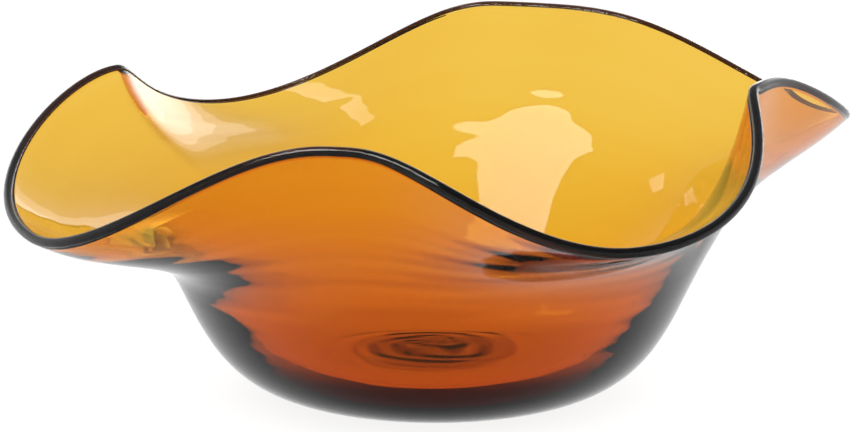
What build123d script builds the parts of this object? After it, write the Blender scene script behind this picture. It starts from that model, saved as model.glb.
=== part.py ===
"""A free-blown glass bowl with a wavy handkerchief rim, built layer by layer.

The wall is an amber core inside a smoke-grey casing, which is thickest under the foot. A dark trail of glass is
wound round the lip, and a polished button of glass is left in the middle of the foot, where the working iron was
broken off. All four are fused hot, so each is a solid of its own that meets its neighbours face to face.

Units are millimetres. +Z is up, the bowl stands on z = 0, and the Z axis is the axis of its round body. +Y points
to the back of the bowl. Azimuths are in degrees anticlockwise from +X.
"""

from build123d import *

import os
from collections import namedtuple
from math import asin, cos, hypot, pi, radians, sin, sqrt

# ---------------------------------------------------------------- driving dimensions
# Round body: the middle of the wall, from the edge of the flat foot to the shoulder, where the waves start.
FOOT_RADIUS = 58.0
SHOULDER_RADIUS = 129.5
SHOULDER_HEIGHT = 62.5
SHOULDER_SLOPE = 62.5
FOOT_FULLNESS = 43.0
SHOULDER_FULLNESS = 35.0

# Glass thickness, square to the wall.
FOOT_THICKNESS = 16.0
RIM_THICKNESS = 4.8
FOOT_CASING = 9.0
RIM_CASING = 1.2
THINNING = 1.2

# Lip wrap: a round trail of glass laid along the end of the wall, which sinks into it as a flat seat. It stands
# this far proud of the wall on both sides.
LIP_PROUD = 0.2

# Pontil button: a shallow dome of glass let into the foot and ground flush with it.
BUTTON_RADIUS = 45.0
BUTTON_DEPTH = 4.0

# Crests and dips of the rim, anticlockwise from the front. The slope is that of the wall where it meets the lip.
# Breadth is how a crest runs down on each side: 1 is a plain wave, below 1 a crease, above 1 a broad flat top.
Crest = namedtuple("Crest", "azimuth radius height slope breadth_before breadth_after")
Dip = namedtuple("Dip", "azimuth radius height slope")
CRESTS = (
    Crest(azimuth=257.0, radius=197.5, height=164.0, slope=73.0, breadth_before=0.9, breadth_after=0.92),
    Crest(azimuth=335.0, radius=175.5, height=172.0, slope=78.0, breadth_before=0.6, breadth_after=1.2),
    Crest(azimuth=438.5, radius=201.0, height=169.0, slope=50.0, breadth_before=2.0, breadth_after=1.0),
    Crest(azimuth=504.3, radius=215.5, height=145.3, slope=70.0, breadth_before=0.6, breadth_after=0.66),
)
DIPS = (
    Dip(azimuth=292.0, radius=242.0, height=124.0, slope=17.5),
    Dip(azimuth=387.5, radius=236.0, height=125.8, slope=33.0),
    Dip(azimuth=478.5, radius=250.0, height=109.2, slope=18.0),
    Dip(azimuth=565.8, radius=220.0, height=101.3, slope=29.5),
)
CREST_SOFTNESS = 0.05
SHOULDER_HANDLE = 0.38
RIM_HANDLE = 0.41

# How finely the surfaces are drawn.
STEPS_PER_STRETCH = 10
BODY_RINGS = 6
WALL_RINGS = 7
LIP_STEPS = 12
CREST_CROWDING = 1.35
STEP = 1e-4

shoulder_slope = radians(SHOULDER_SLOPE)
shoulder = (SHOULDER_RADIUS, SHOULDER_HEIGHT)
lip_radius = RIM_THICKNESS / 2 + LIP_PROUD


# ---------------------------------------------------------------- shape of the wall
def bezier(points, t):
    """The point at t on a cubic Bezier curve, coordinate by coordinate."""
    weights = ((1 - t) ** 3, 3 * t * (1 - t) ** 2, 3 * t * t * (1 - t), t**3)
    return tuple(sum(weight * c for weight, c in zip(weights, axis)) for axis in zip(*points))


def wave(share, breadth):
    """How far the rim has gone from a crest, 0, to the next dip, 1, at this share of the way round."""
    soft = (hypot(share, CREST_SOFTNESS) - CREST_SOFTNESS) / (hypot(1, CREST_SOFTNESS) - CREST_SOFTNESS)
    return ((1 - cos(pi * soft)) / 2) ** breadth


def wave_sides():
    """Both sides of each dip, in order round the rim: crest, its azimuth here, its breadth this side, dip."""
    for crest, following, dip in zip(CRESTS, CRESTS[1:] + CRESTS[:1], DIPS):
        turn = 360.0 if following.azimuth < dip.azimuth else 0.0
        yield crest, crest.azimuth, crest.breadth_after, dip
        yield following, following.azimuth + turn, following.breadth_before, dip


def rim(azimuth):
    """Radius, height and slope of the wall's end at an azimuth."""
    turned = CRESTS[0].azimuth + (azimuth - CRESTS[0].azimuth) % 360.0
    for crest, crest_azimuth, breadth, dip in wave_sides():
        share = (turned - crest_azimuth) / (dip.azimuth - crest_azimuth)
        if 0 <= share <= 1:
            gone = wave(share, breadth)
            return tuple(c + gone * (d - c) for c, d in zip(crest[1:4], dip[1:4]))
    raise ValueError(f"no crest or dip covers azimuth {azimuth}")


def middle(way, azimuth):
    """The middle of the wall. way runs from 0 at the foot through 1 at the shoulder to 2 at the rim."""
    rise = (cos(shoulder_slope), sin(shoulder_slope))
    if way <= 1:
        foot = (FOOT_RADIUS, FOOT_THICKNESS / 2)
        foot_handle = (FOOT_RADIUS + FOOT_FULLNESS, FOOT_THICKNESS / 2)
        shoulder_handle = tuple(s - SHOULDER_FULLNESS * r for s, r in zip(shoulder, rise))
        radius, height = bezier((foot, foot_handle, shoulder_handle, shoulder), way)
    else:
        rim_radius, rim_height, rim_slope = rim(azimuth)
        reach = hypot(rim_radius - SHOULDER_RADIUS, rim_height - SHOULDER_HEIGHT)
        leaving = tuple(s + SHOULDER_HANDLE * reach * r for s, r in zip(shoulder, rise))
        arriving = (
            rim_radius - RIM_HANDLE * reach * cos(radians(rim_slope)),
            rim_height - RIM_HANDLE * reach * sin(radians(rim_slope)),
        )
        radius, height = bezier((shoulder, leaving, arriving, (rim_radius, rim_height)), way - 1)
    return Vector(radius * cos(radians(azimuth)), radius * sin(radians(azimuth)), height)


def directions(way, azimuth):
    """Unit vectors at a point of the wall: up along it, and square to it into the bowl."""
    up = middle(min(way + STEP, 2), azimuth) - middle(max(way - STEP, 0), azimuth)
    onward = middle(way, azimuth + 100 * STEP) - middle(way, azimuth - 100 * STEP)
    inward = up.cross(onward).normalized()
    return up.normalized(), inward


def depth(share, way, azimuth):
    """The point this share of the way through the glass, from the outside, 0, to the inside, 1."""
    _, inward = directions(way, azimuth)
    return middle(way, azimuth) + inward * ((share - 0.5) * thinned(FOOT_THICKNESS, RIM_THICKNESS, way))


def thinned(at_foot, at_rim, way):
    """A thickness that stays near the foot's up the round body, then falls off to the rim's and stays near it."""
    return at_rim + (at_foot - at_rim) * ((1 + cos(pi * way / 2)) / 2) ** THINNING


def outside(way, azimuth):
    return depth(0, way, azimuth)


def inside(way, azimuth):
    return depth(1, way, azimuth)


def seam(way, azimuth):
    """Where the amber core meets the casing."""
    casing = thinned(FOOT_CASING, RIM_CASING, way)
    return depth(casing / thinned(FOOT_THICKNESS, RIM_THICKNESS, way), way, azimuth)


def lip(share, azimuth):
    """The lip wrap's free surface, from the wall's outside, 0, over the top to its inside, 1."""
    up, inward = directions(2, azimuth)
    rise = sqrt(lip_radius**2 - (RIM_THICKNESS / 2) ** 2)
    tuck = asin(rise / lip_radius)
    angle = share * (pi + 2 * tuck) - tuck
    centre = middle(2, azimuth) + up * rise
    return centre - inward * (lip_radius * cos(angle)) + up * (lip_radius * sin(angle))


# ---------------------------------------------------------------- rings, skins and layers
def stretches():
    """The azimuths of each stretch of the rim from a crest to a dip, or from a dip to a crest, in order round it."""
    found = []
    for crest, crest_azimuth, breadth, dip in wave_sides():
        shares = [(k / STEPS_PER_STRETCH) ** CREST_CROWDING for k in range(STEPS_PER_STRETCH + 1)]
        azimuths = [crest_azimuth + share * (dip.azimuth - crest_azimuth) for share in shares]
        found.append(azimuths if crest_azimuth < dip.azimuth else azimuths[::-1])
    return found


STRETCHES = stretches()


def speed(surface, level, azimuth):
    """How fast a ring moves on, in millimetres for each degree of azimuth."""
    return (surface(level, azimuth + STEP) - surface(level, azimuth - STEP)) * (0.5 / STEP)


def ring(surface, level):
    """The closed curve once round a surface at one level, in one edge for each stretch of the rim."""
    edges = []
    for azimuths in STRETCHES:
        points = [surface(level, azimuth) for azimuth in azimuths]
        rates = [speed(surface, level, azimuth) for azimuth in (azimuths[0], azimuths[-1])]
        edges.append(Edge.make_spline(points, tangents=rates, parameters=azimuths, scale=False))
    return Wire(edges)


def wall_skin(surface):
    """The faces of a surface of the wall, from the edge of the foot to the rim."""
    levels = [k / BODY_RINGS for k in range(BODY_RINGS)] + [1 + k / WALL_RINGS for k in range(WALL_RINGS + 1)]
    return Shell.make_loft([ring(surface, level) for level in levels]).faces()


def band(outer, inner):
    """The faces that cross the end of the wall between two of its surfaces."""
    return Shell.make_loft([ring(outer, 2), ring(inner, 2)], ruled=True).faces()


def layer(outer, inner):
    """A layer of glass between two surfaces of the wall, closed across the foot and along the rim."""
    floors = [Face(ring(outer, 0)), Face(ring(inner, 0))]
    return Solid(Shell([*wall_skin(outer), *wall_skin(inner), *band(outer, inner), *floors]))


os.makedirs("parts", exist_ok=True)

# ---------------------------------------------------------------- amber core
# The inner gather, blown from amber glass. Its inside is the inside of the bowl.
with BuildPart() as amber_core:
    add(layer(seam, inside))
amber_core.part.label = "amber_core"
export_step(amber_core.part, "parts/amber_core.step")

# ---------------------------------------------------------------- pontil button
# A shallow dome, flat side down, with its round edge in the plane of the foot.
dome_radius = (BUTTON_RADIUS**2 + BUTTON_DEPTH**2) / (2 * BUTTON_DEPTH)
with BuildPart() as pontil_button:
    with BuildSketch(Plane.XZ) as button_section:
        with BuildLine():
            Polyline((0, BUTTON_DEPTH), (0, 0), (BUTTON_RADIUS, 0))
            RadiusArc((0, BUTTON_DEPTH), (BUTTON_RADIUS, 0), dome_radius)
        make_face()
    revolve(axis=Axis.Z)
pontil_button.part.label = "pontil_button"
export_step(pontil_button.part, "parts/pontil_button.step")

# ---------------------------------------------------------------- smoke casing
# The outer gather, laid over the amber before blowing. The pontil button fills a hollow in its foot.
with BuildPart() as smoke_casing:
    add(layer(outside, seam))
    add(pontil_button.part, mode=Mode.SUBTRACT)
smoke_casing.part.label = "smoke_casing"
export_step(smoke_casing.part, "parts/smoke_casing.step")

# ---------------------------------------------------------------- lip wrap
# A dark trail of glass wound once round the lip and closed on itself, seated flat on the ends of both layers.
with BuildPart() as lip_wrap:
    lip_skin = Shell.make_loft([ring(lip, k / LIP_STEPS) for k in range(LIP_STEPS + 1)]).faces()
    add(Solid(Shell([*lip_skin, *band(outside, seam), *band(seam, inside)])))
lip_wrap.part.label = "lip_wrap"
export_step(lip_wrap.part, "parts/lip_wrap.step")
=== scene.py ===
"""Looks for a free-blown amber glass bowl with a wavy handkerchief rim.

The bowl is built in the order that it is made: the amber core is gathered and cased in smoke glass, the lip
is wrapped, and the pontil button is what the working iron leaves behind. Lengths are metres, azimuths are
degrees anticlockwise from +X, and the bowl stands on z = 0 with its back to +Y.
"""

import math

import bpy
import numpy as np
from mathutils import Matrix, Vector


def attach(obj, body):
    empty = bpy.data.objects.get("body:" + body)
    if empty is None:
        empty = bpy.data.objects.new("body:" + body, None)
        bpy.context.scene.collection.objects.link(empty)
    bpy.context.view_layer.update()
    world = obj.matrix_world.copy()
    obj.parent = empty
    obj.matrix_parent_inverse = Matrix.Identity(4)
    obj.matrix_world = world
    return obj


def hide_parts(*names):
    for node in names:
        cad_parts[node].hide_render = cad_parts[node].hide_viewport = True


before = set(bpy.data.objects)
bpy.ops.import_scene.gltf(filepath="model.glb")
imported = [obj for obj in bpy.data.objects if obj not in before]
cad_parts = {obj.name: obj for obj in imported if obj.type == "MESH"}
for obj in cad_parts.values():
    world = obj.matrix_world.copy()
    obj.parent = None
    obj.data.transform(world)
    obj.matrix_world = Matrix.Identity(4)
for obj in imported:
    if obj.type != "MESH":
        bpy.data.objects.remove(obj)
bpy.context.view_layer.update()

# ================================================================ amber core
# The inner gather, free-blown from transparent amber glass. It holds nearly all of the colour: gold where one
# wall is seen, orange through two, red-brown in the thick foot. Its outer side is fused to the casing all over.
MM = 0.001
FOOT_RADIUS = 58.0 * MM
FOOT_FULLNESS = 43.0 * MM
SHOULDER_RADIUS = 129.5 * MM
SHOULDER_HEIGHT = 62.5 * MM
SHOULDER_SLOPE = math.radians(62.5)
SHOULDER_FULLNESS = 35.0 * MM
SHOULDER_HANDLE = 0.38
RIM_HANDLE = 0.41
FOOT_THICKNESS = 16.0 * MM
RIM_THICKNESS = 4.8 * MM
FOOT_CASING = 9.0 * MM
RIM_CASING = 1.2 * MM
THINNING = 1.2

# One row for each crest of the rim: azimuth, radius, height, slope of the wall, and breadth on its two sides.
CRESTS = (
    (257.0, 197.5, 164.0, 73.0, 0.9, 0.92),
    (335.0, 175.5, 172.0, 78.0, 0.6, 1.2),
    (438.5, 201.0, 169.0, 50.0, 2.0, 1.0),
    (504.3, 215.5, 145.3, 70.0, 0.6, 0.66),
)
# One row for each dip: azimuth, radius, height and slope of the wall.
DIPS = (
    (292.0, 242.0, 124.0, 17.5),
    (387.5, 236.0, 125.8, 33.0),
    (478.5, 250.0, 109.2, 18.0),
    (565.8, 220.0, 101.3, 29.5),
)
CREST_SOFTNESS = 0.05
TURN = 360.0
WAY_STEP = 1e-4
AZIMUTH_STEP = 0.01
ROUND_STEPS = 360
WALL_STEPS = 150
SEAM_STEPS = 44
FUSED_GAP = 0.01 * MM
FOOT_STEPS = 40
SWIRL_PITCH = 13.0 * MM
SWIRL_RADIUS = 48.0 * MM
INSIDE_SWIRL = 0.4 * MM
INSIDE_RIPPLE = 0.036 * MM


def rim_line(azimuth):
    """Radius, height and slope of the wall's end. From a crest to a dip they follow a raised cosine, to the
    power of the crest's breadth: above 1 the crest is broad and flat, below 1 it is a crease."""
    start = CRESTS[0][0]
    turned = start + (azimuth - start) % TURN
    out = [np.zeros_like(turned) for _ in range(3)]
    for i, dip in enumerate(DIPS):
        after = list(CRESTS[(i + 1) % len(CRESTS)])
        after[0] += TURN if after[0] < dip[0] else 0.0
        for crest, breadth in ((CRESTS[i], CRESTS[i][5]), (after, after[4])):
            share = (turned - crest[0]) / (dip[0] - crest[0])
            here = (share >= 0) & (share <= 1)
            soft = np.hypot(share[here], CREST_SOFTNESS) - CREST_SOFTNESS
            soft /= math.hypot(1, CREST_SOFTNESS) - CREST_SOFTNESS
            gone = ((1 - np.cos(np.pi * soft)) / 2) ** breadth
            for k, line in enumerate(out):
                line[here] = crest[k + 1] + gone * (dip[k + 1] - crest[k + 1])
    return out[0] * MM, out[1] * MM, np.radians(out[2])


def bezier(points, t):
    """A cubic Bezier curve of (radius, height) points at t, for whole arrays of points and t."""
    weights = ((1 - t) ** 3, 3 * t * (1 - t) ** 2, 3 * t * t * (1 - t), t**3)
    return [sum(w * p[axis] for w, p in zip(weights, points)) for axis in (0, 1)]


def wall_middle(way, azimuth):
    """The middle of the wall. way goes from 0 at the foot to 1 at the shoulder on one round curve, and from 1 to
    2 at the rim on a curve of its own at each azimuth, which leaves the shoulder and meets the rim at their
    slopes. Both are cubic Bezier curves."""
    rise = (math.cos(SHOULDER_SLOPE), math.sin(SHOULDER_SLOPE))
    shoulder = (SHOULDER_RADIUS, SHOULDER_HEIGHT)
    half = FOOT_THICKNESS / 2
    below = bezier(
        (
            (FOOT_RADIUS, half),
            (FOOT_RADIUS + FOOT_FULLNESS, half),
            (shoulder[0] - SHOULDER_FULLNESS * rise[0], shoulder[1] - SHOULDER_FULLNESS * rise[1]),
            shoulder,
        ),
        np.clip(way, 0, 1),
    )
    radius, height, slope = rim_line(azimuth)
    reach = np.hypot(radius - shoulder[0], height - shoulder[1])
    leaving = SHOULDER_HANDLE * reach
    arriving = RIM_HANDLE * reach
    above = bezier(
        (
            shoulder,
            (shoulder[0] + leaving * rise[0], shoulder[1] + leaving * rise[1]),
            (radius - arriving * np.cos(slope), height - arriving * np.sin(slope)),
            (radius, height),
        ),
        np.clip(way - 1, 0, 1),
    )
    radius, height = (np.where(way <= 1, b, a) for b, a in zip(below, above))
    turn = np.radians(azimuth)
    return np.stack([radius * np.cos(turn), radius * np.sin(turn), height], axis=-1)


def unit(vectors):
    """Vectors made one long."""
    return vectors / np.linalg.norm(vectors, axis=-1, keepdims=True)


def wall_directions(way, azimuth):
    """Unit vectors up along the wall and square to it into the bowl, from differences of the wall's middle."""
    higher, lower = np.minimum(way + WAY_STEP, 2), np.maximum(way - WAY_STEP, 0)
    up = wall_middle(higher, azimuth) - wall_middle(lower, azimuth)
    onward = wall_middle(way, azimuth + AZIMUTH_STEP) - wall_middle(way, azimuth - AZIMUTH_STEP)
    return unit(up), unit(np.cross(up, onward))


def thinned(at_foot, at_rim, way):
    """A thickness that falls off from the foot to the rim by a raised cosine, to the power of the thinning."""
    return at_rim + (at_foot - at_rim) * ((1 + np.cos(np.pi * way / 2)) / 2) ** THINNING


def wall_surface(way, azimuth, share=None, proud=0.0):
    """A surface of the wall: its middle, moved square to the wall to this share of the way through the glass from
    the outside, or to the seam where share is None, and then by proud into the bowl."""
    _, inward = wall_directions(way, azimuth)
    thickness = thinned(FOOT_THICKNESS, RIM_THICKNESS, way)
    depth = thinned(FOOT_CASING, RIM_CASING, way) if share is None else share * thickness
    return wall_middle(way, azimuth) + inward * (depth - thickness / 2 + proud)[..., None]


def ripple(way, azimuth, amplitude):
    """The slight unevenness that blowing leaves, a sum of sines: coarse and fine rings of the gather that wander
    round the wall, long soft lobes, and faint upright cords up the flare, all dying out on the foot."""
    a = np.radians(azimuth)
    rings = np.sin(31 * way + 1.3 * np.sin(2 * a) + 0.7 * np.sin(3 * a + 1))
    fine = np.sin(67 * way + 2.1 * np.sin(a + 2) + 1.1 * np.sin(5 * a)) * 0.35
    lobes = 1.6 * np.sin(4 * a + 3.1 * way) * np.sin(2.2 * way + 0.4)
    cords = 0.25 * np.sin(23 * a + 4 * np.sin(1.7 * way)) * np.clip(way - 1, 0, 1)
    return amplitude * (rings + fine + lobes + cords) * np.clip(way / 1.3, 0, 1) ** 1.5


def swirl(radius, azimuth, high):
    """The coiled mark of the iron: two arms of a spiral ripple, a sine of the radius and twice the azimuth,
    drawn out of round by slow waves, that fades near the swirl's edge by the eighth power of the radius."""
    a = np.radians(azimuth)
    coils = radius / SWIRL_PITCH
    turned = coils * 2 * math.pi - 2 * a + 1.1 * np.sin(3 * a + 0.6) + 0.7 * np.sin(a + coils)
    uneven = 0.7 + 0.3 * np.sin(2 * a + 1.9 * coils)
    faded = np.exp(-((radius / SWIRL_RADIUS) ** 8)) * np.clip(coils, 0, 1)
    return high * np.sin(turned) * uneven * faded


def foot_disc(shares, azimuth, height, relief=0.0):
    """Rings of the flat foot at shares of its radius, at a height that a swirl of this relief is added to."""
    radius = shares[:, None] * FOOT_RADIUS + 0 * azimuth
    turn = np.radians(azimuth)
    level = height + swirl(radius, azimuth, relief)
    return np.stack([radius * np.cos(turn), radius * np.sin(turn), level], axis=-1)


def grid_mesh(name, rows, closed, **marks):
    """A mesh from rows of points, each row a ring round the axis. Rows are joined by quads, the last to the
    first where closed, and an open end is closed by a fan to a point on the axis. Each of marks becomes an
    attribute, and has one value for each row."""
    count, steps, _ = rows.shape
    points = rows.reshape(-1, 3)
    index = np.arange(count * steps).reshape(count, steps)
    low = index if closed else index[:-1]
    high = np.roll(index, -1, axis=0) if closed else index[1:]
    corners = [low, np.roll(low, -1, axis=1), np.roll(high, -1, axis=1), high]
    quads = np.stack(corners, axis=-1).reshape(-1, 4)
    mesh = bpy.data.meshes.new(name)
    tris = []
    if not closed:
        poles = np.array([[0, 0, rows[end, :, 2].mean()] for end in (0, -1)])
        points = np.concatenate([points, poles])
        first, last = count * steps, count * steps + 1
        tris = [(first, b, a) for a, b in zip(index[0], np.roll(index[0], -1))]
        tris += [(last, a, b) for a, b in zip(index[-1], np.roll(index[-1], -1))]
    mesh.from_pydata(points.tolist(), [], quads.tolist() + tris)
    mesh.polygons.foreach_set("use_smooth", [True] * len(mesh.polygons))
    for mark, values in marks.items():
        spots = np.repeat(values, steps)
        if not closed:
            spots = np.append(spots, (values[0], values[-1]))
        layer = mesh.attributes.new(mark, "FLOAT", "POINT")
        layer.data.foreach_set("value", spots.astype(np.float32))
    mesh.validate()
    obj = bpy.data.objects.new(name, mesh)
    bpy.context.scene.collection.objects.link(obj)
    return obj


class Wire:
    """One output of a node tree, with the sums that its materials need."""

    def __init__(self, tree, socket):
        self.tree, self.socket = tree, socket

    def node(self, kind, settings=None, **inputs):
        """A node of a kind, with its settings set first and then its inputs' values or links, as a Wire."""
        made = self.tree.nodes.new(kind)
        for key, value in (settings or {}).items():
            setattr(made, key, value)
        for key, value in inputs.items():
            port = made.inputs[int(key[1:]) if key[1:].isdigit() else key.replace("_", " ")]
            if isinstance(value, Wire):
                self.tree.links.new(value.socket, port)
            else:
                port.default_value = value
        return Wire(self.tree, made.outputs[0])

    def out(self, name):
        return Wire(self.tree, self.socket.node.outputs[name])

    def math(self, operation, first, second):
        return self.node("ShaderNodeMath", {"operation": operation}, _0=first, _1=second)

    def __add__(self, other):
        return self.math("ADD", self, other)

    __radd__ = __add__

    def __mul__(self, other):
        return self.math("MULTIPLY", self, other)

    __rmul__ = __mul__

    def __sub__(self, other):
        return self.math("SUBTRACT", self, other)

    def __rsub__(self, other):
        return self.math("SUBTRACT", other, self)

    def __gt__(self, other):
        return self.math("GREATER_THAN", self, other)


GLASS_IOR = 1.5
GLASS_GLOSS = 0.3
# Painted edge shade: how slantwise a surface must be seen, and how far it is then made a dark mirror.
ALL_REFLECTED = 0.999
EDGE_SHADE_STRENGTH = 0.97


def glass(name, tint, edge_shade_colour, gloss=GLASS_GLOSS):
    """Clear glass coloured in its depth. tint is what one metre takes out of red, green and blue, as 1/metre.
    Where the mesh marks the heavy body, a surface seen so slantwise that glass would reflect nearly all light is
    painted nearly all dark, as a dark mirror in the given shade colour: painted shade for the dark edges of the
    glass. A fused surface lets light straight through."""
    material = bpy.data.materials.new(name)
    material.use_nodes = True
    tree = material.node_tree
    tree.nodes.clear()
    wire = Wire(tree, None)
    thick = wire.node("ShaderNodeAttribute", {"attribute_name": "thick"}).out("Fac")
    # Painted shade: the heavy body's grazing edges are darkened into a dark mirror of the shade colour.
    painted_edge_shade = (wire.node("ShaderNodeFresnel", IOR=GLASS_IOR) > ALL_REFLECTED) * thick
    fused = wire.node("ShaderNodeAttribute", {"attribute_name": "fused"}).out("Fac")
    clear = (1, 1, 1, 1)
    colour = wire.node("ShaderNodeMix", {"data_type": "RGBA"}, _0=painted_edge_shade, _6=clear, _7=edge_shade_colour).out(2)
    surface = wire.node(
        "ShaderNodeBsdfPrincipled",
        Base_Color=colour,
        Metallic=painted_edge_shade * EDGE_SHADE_STRENGTH,
        Roughness=0.0,
        Transmission_Weight=1.0,
        IOR=GLASS_IOR,
        Specular_Tint=(gloss, gloss, gloss, 1),
        Alpha=1 - fused,
    )
    density = max(tint)
    absorbed = [1 - t / density for t in tint]
    volume = wire.node("ShaderNodeVolumeAbsorption", Color=(*absorbed, 1), Density=density)
    output = tree.nodes.new("ShaderNodeOutputMaterial")
    tree.links.new(surface.socket, output.inputs["Surface"])
    tree.links.new(volume.socket, output.inputs["Volume"])
    return material


AMBER_LOSS = (29.0, 150.0, 680.0)
THIN_FROM = 0.5
THIN_BY = 1.0


def body(way):
    """How far a place gets the painted edge shade of the heavy body: 1 below the flare of the rim, easing to 0 up
    it.
    """
    share = np.clip((THIN_BY - way) / (THIN_BY - THIN_FROM), 0, 1)
    return share * share * (3 - 2 * share)


around = np.arange(ROUND_STEPS) * TURN / ROUND_STEPS
wall_ways = np.linspace(2, 0, WALL_STEPS)[:, None] + 0 * around
seam_ways = np.linspace(0, 2, SEAM_STEPS)[:, None] + 0 * around
inside = wall_surface(wall_ways, around, 1.0)
inside += wall_directions(wall_ways, around)[1] * ripple(wall_ways, around, INSIDE_RIPPLE)[..., None]
seam = wall_surface(seam_ways, around, None, FUSED_GAP)
foot_shares = np.linspace(0, 1, FOOT_STEPS + 1)[1:-1]
seam_foot = foot_disc(foot_shares, around, FOOT_CASING + FUSED_GAP)
inside_foot = foot_disc(foot_shares[::-1], around, FOOT_THICKNESS, INSIDE_SWIRL)
foot_ones = np.ones(FOOT_STEPS - 1)
core = grid_mesh(
    "amber_core_glass",
    np.concatenate([seam_foot, seam, inside, inside_foot]),
    False,
    fused=np.concatenate([foot_ones, np.ones(SEAM_STEPS), np.zeros(WALL_STEPS), 0 * foot_ones]),
    thick=np.concatenate([foot_ones, np.ones(SEAM_STEPS), body(wall_ways[:, 0]), foot_ones]),
)
# The last colour is the dark of the painted edge shade, laid where the body mark above is set.
core.data.materials.append(glass("amber glass", AMBER_LOSS, (0.05, 0.03, 0.02, 1)))
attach(core, "root")
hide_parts("amber_core")

# ================================================================ smoke casing
# The outer gather, laid over the amber before blowing: near-clear glass with a breath of grey, thickest under
# the foot. Its surface keeps faint tooling rings from the wooden block that it was shaped in.
SMOKE_LOSS = (14.0, 19.0, 26.0)
UNDERSIDE_RELIEF = 0.15 * MM
OUTSIDE_RIPPLE = 0.03 * MM
OUTSIDE_TURN = 40.0
out_ways = np.linspace(0, 2, WALL_STEPS)[:, None] + 0 * around
outside = wall_surface(out_ways, around, 0.0)
uneven = ripple(out_ways, around + OUTSIDE_TURN, OUTSIDE_RIPPLE)
outside -= wall_directions(out_ways, around)[1] * uneven[..., None]
seam_back = wall_surface(seam_ways[::-1], around, None, -FUSED_GAP)
underside = foot_disc(foot_shares, around, 0.0, UNDERSIDE_RELIEF)
underside[..., 2] += UNDERSIDE_RELIEF * (1 - foot_shares[:, None] ** 8)
seam_back_foot = foot_disc(foot_shares[::-1], around, FOOT_CASING - FUSED_GAP)
casing = grid_mesh(
    "smoke_casing_glass",
    np.concatenate([underside, outside, seam_back, seam_back_foot]),
    False,
    fused=np.concatenate([0 * foot_ones, np.zeros(WALL_STEPS), np.ones(SEAM_STEPS), foot_ones]),
    thick=np.concatenate([foot_ones, body(out_ways[:, 0]), np.ones(SEAM_STEPS), foot_ones]),
)
# The last colour is the dark of the painted edge shade on the casing's body.
casing.data.materials.append(glass("smoke glass", SMOKE_LOSS, (0.055, 0.045, 0.04, 1)))
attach(casing, "root")
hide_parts("smoke_casing")

# ================================================================ lip wrap
# A trail of dark glass wound once round the lip while the bowl is hot, and closed on itself. It is fused to the
# ends of both layers and fire-polished round. Its near-black is partly painted shade: the dark glass also stands
# in for the dark line that the rim's glass shows seen edge-on, and its grazing edges are painted dark too.
LIP_PROUD = 0.2 * MM
LIP_STEPS = 20
# Near-black: the wrap's own dark glass, partly standing in for painted shade along the rim.
LIP_LOSS = (600.0, 850.0, 1100.0)
LIP_GLOSS = 0.5
seat = RIM_THICKNESS / 2
trail = seat + LIP_PROUD
rise = math.sqrt(trail**2 - seat**2)
tuck = math.acos(seat / trail)
ends = np.full_like(around, 2.0)
up, inward = wall_directions(ends, around)
up = unit(up - inward * (up * inward).sum(axis=-1, keepdims=True))
angle = np.linspace(0, 1, LIP_STEPS)[:, None, None] * (math.pi + 2 * tuck) - tuck
spoke = up * np.sin(angle) - inward * np.cos(angle)
lip_rows = wall_middle(ends, around) + up * rise + trail * spoke
lip = grid_mesh("lip_wrap_glass", lip_rows, True, thick=np.ones(LIP_STEPS))
# The last colour is the dark of the painted edge shade, laid all round the lip.
lip.data.materials.append(glass("lip glass", LIP_LOSS, (0.01, 0.01, 0.01, 1), LIP_GLOSS))
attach(lip, "root")
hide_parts("lip_wrap")

# ================================================================ pontil button
# The shallow dome of glass left in the foot by the solid iron that held the bowl while its rim was worked. It is
# ground flush and polished, and its top keeps the coils that the iron left in it.
BUTTON_RADIUS = 45.0 * MM
BUTTON_DEPTH = 4.0 * MM
BUTTON_LOSS = (230.0, 330.0, 500.0)
BUTTON_RINGS = 40
BUTTON_SWIRL = 0.9 * MM
BUTTON_FLOOR = 0.02 * MM
BUTTON_EDGE = 0.04 * MM
dome = (BUTTON_RADIUS**2 + BUTTON_DEPTH**2) / (2 * BUTTON_DEPTH)
button_around = around[::2]
spread = np.linspace(0, 1, BUTTON_RINGS + 1)[1:-1]
bottom = foot_disc(spread * BUTTON_RADIUS / FOOT_RADIUS, button_around, BUTTON_FLOOR)
top = foot_disc(spread * BUTTON_RADIUS / FOOT_RADIUS, button_around, 0.0, BUTTON_SWIRL)
top[..., 2] += (BUTTON_DEPTH - dome + np.sqrt(dome**2 - (spread * BUTTON_RADIUS) ** 2))[:, None]
top[..., 2] = np.maximum(top[..., 2], BUTTON_EDGE)
button_rows = np.concatenate([bottom, top[::-1]])
button = grid_mesh("pontil_button_glass", button_rows, False, fused=np.ones(len(button_rows)))
# The last colour is the dark for painted edge shade, which the button never shows: it has no body mark.
button.data.materials.append(glass("pontil glass", BUTTON_LOSS, (0.02, 0.01, 0.01, 1)))
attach(button, "root")
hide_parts("pontil_button")

# ================================================================ studio
# A plain pale floor that glows softly like a light table, with a painted soft shadow where it is dimmer under
# the foot, a pale sweep of light round the horizon, soft boxes that show only in the glass, and a camera a
# little above the rim.
FLOOR_SIZE = 12.0
FLOOR_DROP = 0.1 * MM
FLOOR_GLOW = 0.99
SHADE_FROM = 0.06
SHADE_TO = 0.14
SHADE_GLOW = 0.88
floor_mesh = bpy.data.meshes.new("floor")
side = FLOOR_SIZE / 2
corners = [(x, y, -FLOOR_DROP) for x, y in ((-side, -side), (side, -side), (side, side), (-side, side))]
floor_mesh.from_pydata(corners, [], [(0, 1, 2, 3)])
floor = bpy.data.objects.new("floor", floor_mesh)
bpy.context.scene.collection.objects.link(floor)
paper = bpy.data.materials.new("studio paper")
paper.use_nodes = True
sheet = paper.node_tree.nodes["Principled BSDF"].inputs
sheet["Base Color"].default_value = (0.12, 0.12, 0.12, 1)
sheet["Roughness"].default_value = 1.0
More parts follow.
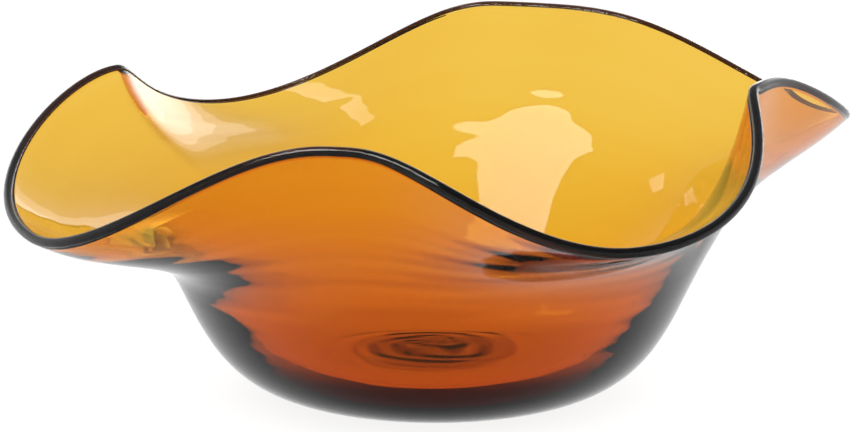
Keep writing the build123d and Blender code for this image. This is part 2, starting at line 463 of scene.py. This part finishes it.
sheet["Specular IOR Level"].default_value = 0.0
sheet["Emission Strength"].default_value = FLOOR_GLOW
wire = Wire(paper.node_tree, None)
place = wire.node("ShaderNodeTexCoord").out("Object")
reach = wire.node("ShaderNodeVectorMath", {"operation": "LENGTH"}, Vector=place).out("Value")
eased = {"interpolation_type": "SMOOTHERSTEP"}
# Painted shadow: the floor's glow eases to a dimmer level close round the foot.
lit = wire.node("ShaderNodeMapRange", eased, Value=reach, _1=SHADE_FROM, _2=SHADE_TO, _3=SHADE_GLOW, _4=1.0)
paper.node_tree.links.new(lit.socket, sheet["Emission Color"])
floor_mesh.materials.append(paper)
floor.visible_glossy = False

# The sky's glow at sines of its elevation, from straight down to straight up.
SKY = ((-1.0, 0.4), (-0.8, 0.65), (-0.5, 0.9), (0.0, 1.0), (0.2, 1.0), (0.5, 0.35))
world = bpy.data.worlds.new("studio")
bpy.context.scene.world = world
world.use_nodes = True
tree = world.node_tree
tree.nodes.clear()
wire = Wire(tree, None)
direction = wire.node("ShaderNodeTexCoord").out("Generated")
elevation = wire.node("ShaderNodeSeparateXYZ", Vector=direction).out("Z")
ramp = wire.node("ShaderNodeValToRGB", Fac=elevation * 0.5 + 0.5)
stops = ramp.socket.node.color_ramp.elements
while len(stops) < len(SKY):
    stops.new(0.5)
for stop, (height, glow) in zip(stops, SKY):
    stop.position, stop.color = height / 2 + 0.5, (glow, glow, glow, 1)
sky = wire.node("ShaderNodeBackground", Color=ramp, Strength=1.0)
world_out = tree.nodes.new("ShaderNodeOutputWorld")
tree.links.new(sky.socket, world_out.inputs["Surface"])


LIGHT_TARGET = (0, 0, 0.1)


def aim(obj, place, target):
    """Puts an object at a place with its -Z axis towards a target and its X axis level."""
    obj.location = place
    obj.rotation_euler = (Vector(target) - Vector(place)).to_track_quat("-Z", "Y").to_euler()


def soft_box(name, azimuth, height, distance, width, tall, glow):
    """A rectangular soft box that shows only in reflections, at an azimuth and a height in degrees, aimed at the
    bowl. Its power is pi times its area times its glow, so that it looks as bright at any size."""
    light = bpy.data.lights.new(name, "AREA")
    light.shape = "RECTANGLE"
    light.size, light.size_y, light.energy = width, tall, glow * math.pi * width * tall
    lamp = bpy.data.objects.new(name, light)
    turn, lift = math.radians(azimuth), math.radians(height)
    level = distance * math.cos(lift)
    aim(lamp, (level * math.cos(turn), level * math.sin(turn), distance * math.sin(lift)), LIGHT_TARGET)
    lamp.visible_camera = lamp.visible_transmission = lamp.visible_diffuse = False
    bpy.context.scene.collection.objects.link(lamp)


soft_box("key_box", azimuth=221, height=47.5, distance=2.2, width=1.1, tall=1.05, glow=14)
soft_box("fill_box", azimuth=127, height=50, distance=2.2, width=0.3, tall=0.4, glow=3)
# The side light fades out from its middle: boxes of growing size stand one behind the other.
for grown in (0.3, 0.5, 0.75, 1.0, 1.3):
    behind = 2.2 + 0.01 * grown
    soft_box(f"side_box_{grown}", azimuth=70, height=9, distance=behind, width=1.5 * grown, tall=grown, glow=0.5)

CAMERA_TARGET = (-0.0036, 0.0, 0.0918)
CAMERA_DISTANCE = 2.0
CAMERA_ELEVATION = math.radians(12.5)
SENSOR = 36.0
VIEW_WIDTH = 0.52 * MM * 856
camera = bpy.data.objects.new("camera", bpy.data.cameras.new("camera"))
camera.data.sensor_width = SENSOR
camera.data.lens = SENSOR * CAMERA_DISTANCE / VIEW_WIDTH
lift = (0, -math.cos(CAMERA_ELEVATION), math.sin(CAMERA_ELEVATION))
aim(camera, [t + CAMERA_DISTANCE * k for t, k in zip(CAMERA_TARGET, lift)], CAMERA_TARGET)
bpy.context.scene.collection.objects.link(camera)
bpy.context.scene.camera = camera
bpy.context.scene.view_settings.view_transform = "Standard"

# Light that goes round inside the glass meets many surfaces before it comes out.
GLASS_BOUNCES = 32
bpy.context.scene.cycles.max_bounces = GLASS_BOUNCES
bpy.context.scene.cycles.transmission_bounces = GLASS_BOUNCES
bpy.context.scene.cycles.transparent_max_bounces = 2 * GLASS_BOUNCES
